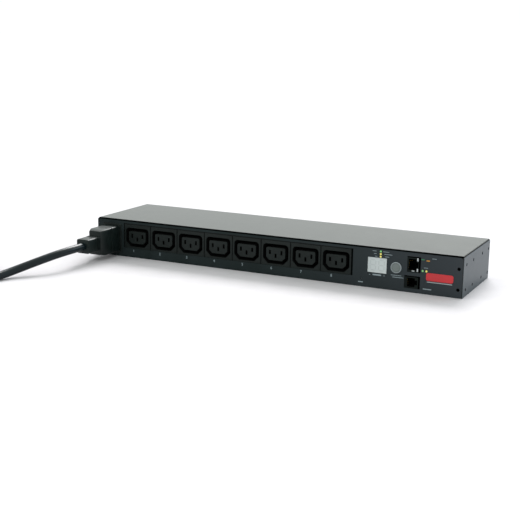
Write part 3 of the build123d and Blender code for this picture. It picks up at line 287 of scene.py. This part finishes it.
# ---------------------------------------------------------------- tie
# A strip of woven nylon hook-and-loop goes round all the turns and laps over itself on top,
# and keeps the spare cord in a neat flat coil.
TIE_TURN = 65.0                 # degrees round the coil from +X
TIE_WIDTH = 0.0138
TIE_THICK = 0.0009
TIE_REACH = 0.5 * (COIL_RINGS[0] + COIL_RINGS[2])
TIE_SLACK = 0.0012              # by how much the loop is wider than the turns inside it
TIE_SQUEEZE = 0.0002            # by how much it is lower than they are
TIE_SPAN = COIL_RINGS[0] - COIL_RINGS[2] + CORD_THICK + TIE_SLACK
TIE_HEIGHT = 2 * CORD_THICK - TIE_SQUEEZE
TIE_LIFT = 0.0007
TIE_CORNER = 0.003
TIE_EDGE = 0.0002
TIE_LAP = (0.003, 0, TIE_THICK * 1.15)  # the strap's free end, over its first layer


def block(name, middle, size):
    """A box at its size and place, alone in the selection, ready for edit mode."""
    bpy.ops.object.select_all(action="DESELECT")
    bpy.ops.mesh.primitive_cube_add(size=1, location=middle)
    made = bpy.context.object
    made.name = name
    made.scale = size
    bpy.ops.object.transform_apply(location=True, rotation=True, scale=True)
    return made


def pick_faces(test):
    """In edit mode, selects the faces whose middle and normal pass the test, and no others."""
    bpy.ops.mesh.select_mode(type="FACE")
    bpy.ops.mesh.select_all(action="DESELECT")
    shape = bmesh.from_edit_mesh(bpy.context.object.data)
    for face in shape.faces:
        face.select_set(test(face.calc_center_median(), face.normal))
    bmesh.update_edit_mesh(bpy.context.object.data)


def pick_edges(test):
    """In edit mode, selects the edges whose two ends pass the test, and no others."""
    bpy.ops.mesh.select_mode(type="EDGE")
    bpy.ops.mesh.select_all(action="DESELECT")
    shape = bmesh.from_edit_mesh(bpy.context.object.data)
    for edge in shape.edges:
        edge.select_set(test(edge.verts[0].co, edge.verts[1].co))
    bmesh.update_edit_mesh(bpy.context.object.data)


def modified(piece, kind, **settings):
    """Adds a modifier with these settings and applies it."""
    bpy.ops.object.select_all(action="DESELECT")
    piece.select_set(True)
    bpy.context.view_layer.objects.active = piece
    added = piece.modifiers.new(kind.title(), kind)
    for name, setting in settings.items():
        setattr(added, name, setting)
    bpy.ops.object.modifier_apply(modifier=added.name)


cord_tie = block("coil_tie", (0, 0, CORD_THICK), (TIE_SPAN, TIE_WIDTH, TIE_HEIGHT))
bpy.ops.object.mode_set(mode="EDIT")
pick_faces(lambda middle, normal: abs(normal.y) > 0.9)
bpy.ops.mesh.delete(type="ONLY_FACE")
pick_edges(lambda a, b: abs(a.y - b.y) > TIE_WIDTH / 2)
bpy.ops.mesh.bevel(offset=TIE_CORNER, segments=5, affect="EDGES")
pick_faces(lambda middle, normal: normal.z > 0.9)
bpy.ops.mesh.duplicate_move(TRANSFORM_OT_translate={"value": TIE_LAP})
bpy.ops.mesh.subdivide(number_cuts=3)
bpy.ops.object.mode_set(mode="OBJECT")
modified(cord_tie, "SOLIDIFY", thickness=TIE_THICK, offset=0.6)
modified(cord_tie, "BEVEL", width=TIE_EDGE, segments=2, limit_method="ANGLE")
cord_tie.data.transform(
    Matrix.Translation((*COIL_MIDDLE, TIE_LIFT))
    @ Matrix.Rotation(math.radians(TIE_TURN), 4, "Z")
    @ Matrix.Translation((TIE_REACH, 0, 0))
)
# Woven nylon: a matt black with a visible rib every millimetre.
cord_tie.data.materials.append(
    surface("woven_nylon_strap", "#101213", "#2a2e30", 0.9, 0.25, (0.75, 0.9),
            bands=("DIAGONAL", 1.1), IOR=1.53)
)
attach(cord_tie, "supply_cord")
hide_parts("cord_tie")


# ---------------------------------------------------------------- plugs
# Each plug is PVC moulded over the cord in one shot. The moulding has a seam round its
# body, sloped shoulders and ribs on its neck, and all its edges are rounded.
PLUG_EDGE = 0.0010              # how wide the rounding of an edge is
SHARP = math.radians(28)        # a bend that is sharper than this is an edge
FLAT = math.radians(0.5)
SAME_PLACE = 0.000002


def rounded_copy(node, name, width):
    """A copy of a CAD piece with its facets merged and its edges rounded, standing for it."""
    source = frame["nodes"][node]
    piece = bpy.data.objects.new(name, source.data.copy())
    bpy.context.scene.collection.objects.link(piece)
    piece.data.materials.clear()
    bpy.ops.object.select_all(action="DESELECT")
    piece.select_set(True)
    bpy.context.view_layer.objects.active = piece
    bpy.ops.object.mode_set(mode="EDIT")
    bpy.ops.mesh.select_all(action="SELECT")
    bpy.ops.mesh.remove_doubles(threshold=SAME_PLACE)
    bpy.ops.mesh.dissolve_limited(angle_limit=FLAT)
    bpy.ops.object.mode_set(mode="OBJECT")
    modified(piece, "BEVEL", width=width, segments=3, limit_method="ANGLE",
             angle_limit=SHARP)
    bpy.ops.object.shade_smooth_by_angle(angle=SHARP)
    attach(piece, source["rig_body"])
    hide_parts(node)
    return piece


# Moulded PVC: black, satin, with a spark-eroded grain that shows on its flat faces.
moulded_pvc = surface("moulded_pvc", "#0a1211", "#172120", 0.7, 0.04, (0.34, 0.44),
                      Specular_IOR_Level=0.28)
for node in ("supply_plug", "far_plug"):
    plug = rounded_copy(node, node + "_moulding", PLUG_EDGE)
    plug.data.materials.append(moulded_pvc)


def paint(material, *nodes):
    """Gives CAD pieces their finish."""
    for node in nodes:
        piece = frame["nodes"][node]
        piece.data.materials.clear()
        piece.data.materials.append(material)


# Nickel on brass: pale, bright and slightly streaked.
plated = surface("nickel_plate", "#a9aaa6", "#c9cac6", 0.5, 0.01, (0.2, 0.32),
                 stretch=(1, 0.1, 1), Metallic=1.0)
paint(plated, "far_plug_pins", "inlet_pins")

# ---------------------------------------------------------------- sheet metal
# The tray and the cover are folded from 1.2 mm steel and powder coated black. The coating
# is satin, with an orange peel about half a millimetre across.
PANEL_PAINTED_LIGHT = (0.02, 0.222)      # X where the panel's painted light starts, lighter towards the right, and its right end
COVER_PAINTED_LIGHT = (0.2213, 0.2218)   # distances from the middle, across the cover's side bends, over which its ends take a painted cool light
SHADE_STRIP_LENGTH = 0.4415
SHADE_STRIP_DEPTH = 0.0013
SHADE_STRIP_SETBACK = 0.00075          # from the panel's face to the middle of the painted shade strip
SHADE_STRIP_SLACK = 0.0003             # by how much the painted shade strip is thinner than its gap
SHADE_STRIP_EDGE = 0.00025
WINDOW_SHADE_STRIP_X = 0.1009
WINDOW_SHADE_STRIP_Z = 0.0253
WINDOW_SHADE_STRIP_SIZE = (0.0019, 0.0006, 0.0291)
WINDOW_SHADE_STRIP_SETBACK = 0.0001
WINDOW_SHADE_STRIP_EDGE = 0.0002
tray_low, tray_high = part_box("chassis_tray")
cover_low, cover_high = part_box("top_cover")
panel_y = tray_low.y


def recessed(material, start, end):
    """Paints shade into a finish: blackens and dulls it from one depth inside the chassis to
    another.
    """
    low = Vector((cover_low.x, panel_y, tray_low.z))
    high = cover_high
    tree = material.node_tree
    shader = tree.nodes["Principled BSDF"]
    place = add(tree, "ShaderNodeTexCoord").outputs["Object"]
    centred = add(tree, "ShaderNodeVectorMath", {1: (low + high) / 2}, {0: place},
                  operation="SUBTRACT")
    folded = add(tree, "ShaderNodeVectorMath", links={0: centred.outputs[0]},
                 operation="ABSOLUTE")
    inward = add(tree, "ShaderNodeVectorMath", {0: (high - low) / 2}, {1: folded.outputs[0]},
                 operation="SUBTRACT")
    parts = add(tree, "ShaderNodeSeparateXYZ", links={"Vector": inward.outputs[0]})
    nearest = add(tree, "ShaderNodeMath", links={0: parts.outputs["X"], 1: parts.outputs["Y"]},
                  operation="MINIMUM")
    depth = add(tree, "ShaderNodeMath", links={0: nearest.outputs[0], 1: parts.outputs["Z"]},
                operation="MINIMUM")
    dark = add(tree, "ShaderNodeMapRange", {"From Min": start, "From Max": end},
               {"Value": depth.outputs[0]})
    colour = shader.inputs["Base Color"].links[0].from_socket
    shade_painted = add(tree, "ShaderNodeMix", {7: (0, 0, 0, 1)},
                    {0: dark.outputs[0], 6: colour}, data_type="RGBA")
    tree.links.new(shade_painted.outputs[2], shader.inputs["Base Color"])
    rough = shader.inputs["Roughness"].links[0].from_socket
    dulled = add(tree, "ShaderNodeMath", links={0: rough, 1: dark.outputs[0]},
                 operation="MAXIMUM")
    tree.links.new(dulled.outputs[0], shader.inputs["Roughness"])


def fade_along(material, start, end, colour, duller=0.0, both_ends=False):
    """Paints light into a finish: turns it to another colour and dulls it along X, towards one
    end or both.
    """
    tree = material.node_tree
    shader = tree.nodes["Principled BSDF"]
    place = add(tree, "ShaderNodeTexCoord").outputs["Object"]
    parts = add(tree, "ShaderNodeSeparateXYZ", links={"Vector": place})
    along = parts.outputs["X"]
    if both_ends:
        along = add(tree, "ShaderNodeMath", links={0: along}, operation="ABSOLUTE").outputs[0]
    part = add(tree, "ShaderNodeMapRange", {"From Min": start, "From Max": end},
               {"Value": along})
    before = shader.inputs["Base Color"].links[0].from_socket
    light_painted = add(tree, "ShaderNodeMix", {7: linear(colour)}, {0: part.outputs[0], 6: before},
                data_type="RGBA")
    tree.links.new(light_painted.outputs[2], shader.inputs["Base Color"])
    before = shader.inputs["Roughness"].links[0].from_socket
    dulled = add(tree, "ShaderNodeMath", {1: duller}, {0: part.outputs[0], 2: before},
                 operation="MULTIPLY_ADD")
    tree.links.new(dulled.outputs[0], shader.inputs["Roughness"])


tray_coat = surface("black_powder_coat", "#182121", "#212a2b", 0.6, 0.05, (0.62, 0.72),
                    Specular_IOR_Level=0.15)
# Painted light: the panel is painted lighter towards its right end.
fade_along(tray_coat, *PANEL_PAINTED_LIGHT, "#33383c")
# Painted shade: the tray is painted black where it lies inside the chassis, as on the shelf
# under the cover's front edge.
recessed(tray_coat, start=0.0001, end=0.0003)
cover_coat = surface("satin_powder_coat", "#0d1411", "#161d1a", 0.6, 0.02, (0.16, 0.22),
                     Specular_IOR_Level=0.5, IOR=1.38)
# Painted light: both end faces of the cover are painted a cool blue-grey.
fade_along(cover_coat, *COVER_PAINTED_LIGHT, "#182b32", duller=0.16, both_ends=True)
# Painted shade: the cover is painted black along its bends and on its inside.
recessed(cover_coat, start=0.0001, end=0.0004)
paint(tray_coat, "chassis_tray")
paint(cover_coat, "top_cover")
# A strip of flat black stands in the gap under the cover's front edge, all along the shelf that
# it rests on, as painted shade, and a wider one stands past the last outlet, as painted shadow
# at the window's edge.
front_shade_strip = block(
    "front_shade_strip",
    (0, panel_y + SHADE_STRIP_SETBACK, (tray_high.z + cover_high.z) / 2 - SHADE_STRIP_SLACK / 3),
    (SHADE_STRIP_LENGTH, SHADE_STRIP_DEPTH, cover_high.z - tray_high.z - SHADE_STRIP_SLACK),
)
modified(front_shade_strip, "BEVEL", width=SHADE_STRIP_EDGE, segments=3, limit_method="ANGLE")
window_shade_strip = block(
    "window_shade_strip",
    (WINDOW_SHADE_STRIP_X, panel_y + WINDOW_SHADE_STRIP_SETBACK, WINDOW_SHADE_STRIP_Z),
    WINDOW_SHADE_STRIP_SIZE,
)
modified(window_shade_strip, "BEVEL", width=WINDOW_SHADE_STRIP_EDGE, segments=3, limit_method="ANGLE")
# Painted shade: both strips are a flat matt black with no sheen.
shade_strip_black = surface("painted_shade_black", "#020303", "#090c0c", 0.4, 0.1, (0.95, 1.0),
               Specular_IOR_Level=0.0)
for shade_strip in (front_shade_strip, window_shade_strip):
    shade_strip.data.materials.append(shade_strip_black)
    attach(shade_strip, "chassis")
# Black phosphate on steel screws, with a dull sheen.
paint(surface("phosphated_steel", "#1a1b1c", "#2a2c2d", 0.3, 0.02, (0.35, 0.5), Metallic=0.7),
      "cover_screws")

# ---------------------------------------------------------------- outlets
# Eight nylon blocks, moulded black with a matt grain, stand in one long window. Behind each
# island's slots are phosphor bronze contacts. The deep parts of the moats are painted black, as
# painted shade.
outlet_nylon = surface("moulded_nylon", "#0d1412", "#181f1e", 0.5, 0.05, (0.45, 0.6),
                       Specular_IOR_Level=0.2)
# Painted shade: the nylon is painted black from 0.9 mm inside the chassis onwards.
recessed(outlet_nylon, start=0.0009, end=0.0014)
outlet_names = [f"outlet_{number}" for number in range(1, 9)]
paint(outlet_nylon, *outlet_names)
bronze = surface("phosphor_bronze", "#a8783f", "#c79a5c", 0.4, 0.01, (0.25, 0.4), Metallic=1.0)
paint(bronze, "outlet_line_contacts", "outlet_neutral_contacts", "outlet_earth_contacts",
      "supply_plug_contacts")

# ---------------------------------------------------------------- inlet
# The inlet is one block of black glass-filled nylon, snapped into the panel. The supply plug
# covers nearly all of it.
# Its nylon carries the same painted shade inside the chassis as the outlets'.
paint(outlet_nylon, "inlet_housing")

# ---------------------------------------------------------------- printed marks
# Pale grey ink is printed on the panel: a number under each outlet, and short plain bars
# in place of words beside the lamps, the display, the button and the jacks.
INK = 0.00006                   # thickness of the ink, and how far a mark stands out
NUMBER_HEIGHT = 0.0030
NUMBER_SIZE = NUMBER_HEIGHT * 1.4  # of the letters' whole em
NUMBER_SPREAD = 0.00006         # how far the ink runs out past a number's outline
NUMBER_LEFT = 0.0048            # from an outlet's middle to its number
NUMBER_Z = 0.0064
WORDS = [
    # middle x, middle z, width, height, in mm
    (125.8, 40.0, 4.4, 0.5), (126.6, 37.2, 3.0, 0.5), (127.6, 34.4, 2.6, 0.5),
    (138.6, 40.0, 6.6, 0.5), (141.0, 37.4, 8.8, 0.5), (139.8, 34.8, 4.8, 0.5),
    (129.2, 14.4, 9.6, 1.5), (150.4, 16.3, 11.6, 0.5), (152.6, 14.3, 12.2, 0.6),
    (111.3, 4.9, 5.6, 1.1), (184.5, 5.4, 9.2, 1.1),
    (190.8, 38.2, 4.6, 0.5), (182.2, 27.8, 4.4, 0.5),
    # two corner brackets, from the display down to the bar under it
    (120.2, 14.9, 0.5, 2.0), (121.1, 14.1, 1.8, 0.5),
    (138.2, 14.9, 0.5, 2.0), (137.3, 14.1, 1.8, 0.5),
]
COLOURED_MARKS = [
    # name, middle x, middle z, in mm, and the ink's two colours
    ("green_ink", 178.7, 36.3, "#1d5a3a", "#27704a"),
    ("orange_ink", 184.3, 35.5, "#a8701c", "#c08428"),
]
MARK_WIDTH = 3.6 * MM
MARK_HEIGHT = 1.2 * MM


def printed_bar(name, x, z, width, height, thickness=INK, corner=0.4):
    """A flat bar on the panel's face. corner is its corners' radius, over its height."""
    made = block(name, (x, panel_y - thickness / 2, z), (width, thickness, height))
    bpy.ops.object.mode_set(mode="EDIT")
    pick_edges(lambda a, b: abs(a.y - b.y) > thickness / 2)
    bpy.ops.mesh.bevel(offset=height * corner, segments=3, affect="EDGES")
    bpy.ops.object.mode_set(mode="OBJECT")
    return made


def joined(pieces, name):
    """Makes several pieces one, under a new name."""
    bpy.ops.object.select_all(action="DESELECT")
    for piece in pieces:
        piece.select_set(True)
    bpy.context.view_layer.objects.active = pieces[0]
    bpy.ops.object.join()
    bpy.context.object.name = name
    return bpy.context.object


marks = []
for number, node in enumerate(outlet_names, start=1):
    low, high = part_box(node)
    bpy.ops.object.select_all(action="DESELECT")
    bpy.ops.object.text_add()
    figure = bpy.context.object
    figure.data.body = str(number)
    figure.data.size = NUMBER_SIZE
    figure.data.extrude = INK / 2
    figure.data.offset = NUMBER_SPREAD
    figure.data.align_x = "CENTER"
    bpy.ops.object.convert(target="MESH")
    figure.data.transform(
        Matrix.Translation(((low.x + high.x) / 2 - NUMBER_LEFT, panel_y - INK / 2, NUMBER_Z))
        @ Matrix.Rotation(math.radians(90), 4, "X")
    )
    marks.append(figure)
for word in WORDS:
    marks.append(printed_bar("bar", *[value * MM for value in word]))
panel_print = joined(marks, "panel_print")
panel_print.data.materials.clear()
panel_print.data.materials.append(
    surface("screen_printed_ink", "#7b888d", "#8c999e", 0.3, 0.005, (0.5, 0.65))
)
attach(panel_print, "chassis")

# Two more marks, right of the network jack, are printed in green and in orange.
for name, mark_x, mark_z, dark, light in COLOURED_MARKS:
    mark = printed_bar(name + "_mark", mark_x * MM, mark_z * MM, MARK_WIDTH, MARK_HEIGHT,
                       corner=1 / 3)
    mark.data.materials.append(surface(name, dark, light, 0.3, 0.005, (0.5, 0.65)))
    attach(mark, "chassis")

# ---------------------------------------------------------------- display and buttons
# The display is a pale satin acrylic face with two figures of seven bars, unlit. The button
# beside it is a grey cap in a paler ring, and the lamps are small domed light pipes.
paint(surface("satin_acrylic", "#b4bcbc", "#c2c9c9", 2.0, 0.004, (0.3, 0.42), IOR=1.49),
      "display_module")
paint(surface("unlit_display_bars", "#acb4b4", "#b4bbbb", 1.0, 0.004, (0.3, 0.4), IOR=1.49),
      "display_segments")
paint(surface("pale_grey_abs", "#858e90", "#939c9e", 0.5, 0.02, (0.35, 0.45), IOR=1.54),
      "button_ring")
paint(surface("grey_abs", "#5e6765", "#6b7472", 0.5, 0.03, (0.4, 0.5), IOR=1.54),
      "display_button", "reset_button")
paint(surface("switch_body", "#161819", "#232627", 0.5, 0.02, (0.4, 0.5)), "push_switches")


def lens(name, dark, light, glow):
    """Tinted polycarbonate: glossy and domed, with a trace of light from behind it."""
    made = surface(name, dark, light, 0.6, 0.004, (0.1, 0.2), IOR=1.58)
    shader = made.node_tree.nodes["Principled BSDF"]
    shader.inputs["Emission Color"].default_value = linear(light)
    shader.inputs["Emission Strength"].default_value = glow
    return made


paint(lens("green_lens", "#4f8a4c", "#7fbf78", 0.25), "load_led_green", "link_led_green")
paint(lens("yellow_lens", "#b3a53a", "#e0d370", 0.3), "load_leds_yellow", "link_led_amber")

# ---------------------------------------------------------------- jacks
# Both jacks are black at the panel, with gold-plated wires inside. The network jack also has
# three bent spring tabs of tinned steel at its mouth, which press on a plug's shield.
tin = surface("tinned_steel", "#9aa0a2", "#bcc1c2", 0.6, 0.01, (0.25, 0.4), Metallic=1.0)
jack_plastic = surface("jack_plastic", "#0b100f", "#131a18", 0.5, 0.03, (0.4, 0.5),
                       Specular_IOR_Level=0.1)
# Painted shade: the jack plastic is painted black from 0.5 mm inside the chassis onwards.
recessed(jack_plastic, start=0.0005, end=0.0012)
paint(jack_plastic, "ethernet_shell", "ethernet_insert", "serial_jack")
paint(surface("gold_plate", "#c49a3c", "#e2bf67", 0.4, 0.005, (0.15, 0.25), Metallic=1.0),
      "ethernet_contacts", "serial_contacts")
TABS = [
    # middle x, middle z, width, height, in mm
    (173.2, 35.4, 1.6, 3.4), (173.2, 24.2, 1.6, 3.4), (168.6, 23.0, 3.0, 1.2),
]
TAB_THICK = 0.4 * MM
TAB_BEND = 0.2 * MM             # how far a tab's middle bulges out of the panel
TAB_RIM = 0.3 * MM              # width of its sloping rim
TAB_EDGE = 0.12 * MM
tabs = []
for tab_x, tab_z, tab_width, tab_height in TABS:
    tab = block("tab", (tab_x * MM, panel_y + TAB_THICK / 2, tab_z * MM),
                (tab_width * MM, TAB_THICK, tab_height * MM))
    bpy.ops.object.mode_set(mode="EDIT")
    pick_faces(lambda middle, normal: normal.y < -0.9)
    bpy.ops.mesh.inset(thickness=TAB_RIM, depth=0)
    bpy.ops.transform.translate(value=(0, -TAB_BEND, 0))
    bpy.ops.object.mode_set(mode="OBJECT")
    modified(tab, "BEVEL", width=TAB_EDGE, segments=2, limit_method="ANGLE")
    tabs.append(tab)
spring_tabs = joined(tabs, "shell_spring_tabs")
spring_tabs.data.materials.append(tin)
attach(spring_tabs, "chassis")

# ---------------------------------------------------------------- badge
# A plain red plate is glued to the panel, under a thin coat of clear resin. A grey line of
# ink is printed below it.
paint(surface("red_enamel_plate", "#b30d17", "#c2141f", 1.0, 0.004, (0.25, 0.32),
              Coat_Weight=0.15, Coat_Roughness=0.1), "badge")
LINE_HEIGHT = 0.0009
LINE_BELOW = 0.0013             # from the plate's lower edge to the line's middle
LINE_SHORTER = 0.002            # than the plate is wide
badge_low, badge_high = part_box("badge")
badge_line = printed_bar(
    "badge_line",
    (badge_low.x + badge_high.x) / 2,
    badge_low.z - LINE_BELOW,
    badge_high.x - badge_low.x - LINE_SHORTER,
    LINE_HEIGHT,
    thickness=2 * INK,
)
badge_line.data.materials.append(
    surface("silver_ink", "#8a9092", "#a2a8aa", 0.3, 0.004, (0.4, 0.5))
)
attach(badge_line, "chassis")

# ---------------------------------------------------------------- inside
# Green glass-epoxy boards carry relays, a transformer, capacitors and chips. None of this
# shows unless the cover is off.
paint(surface("solder_mask_green", "#0f4a2c", "#1b6a41", 2.2, 0.03, (0.3, 0.45),
              bands=("X", 2.54), IOR=1.55),
      "outlet_board", "power_board", "display_board", "network_board")
paint(surface("relay_case_blue", "#1b3f7a", "#24509a", 1.5, 0.02, (0.3, 0.4)),
      *[f"relay_{number}" for number in range(1, 9)])
paint(surface("steel_laminations", "#55585a", "#7a7e80", 0.5, 0.08, (0.35, 0.5),
              bands=("X", 0.9), Metallic=0.9), "power_transformer")
paint(surface("capacitor_sleeve", "#15181c", "#23272d", 1.0, 0.01, (0.25, 0.35)),
      "supply_capacitors")
paint(surface("terminal_green_nylon", "#2f7d45", "#3c9355", 0.8, 0.02, (0.4, 0.5)),
      "terminal_block")
paint(surface("zinc_plate", "#a7a89c", "#c4c5ba", 0.5, 0.01, (0.25, 0.4), Metallic=1.0),
      "earth_stud", "board_standoffs", "board_screws")
paint(surface("lead_pvc", "#4b3a2c", "#5f4b39", 1.2, 0.02, (0.4, 0.5)), "inlet_leads")
paint(surface("epoxy_chip", "#141516", "#1f2122", 0.4, 0.02, (0.45, 0.6)), "network_chips")
paint(surface("ribbon_grey_pvc", "#8c9092", "#a6aaac", 0.5, 0.2, (0.4, 0.5),
              bands=("Z", 1.27)), "ribbon_cable")
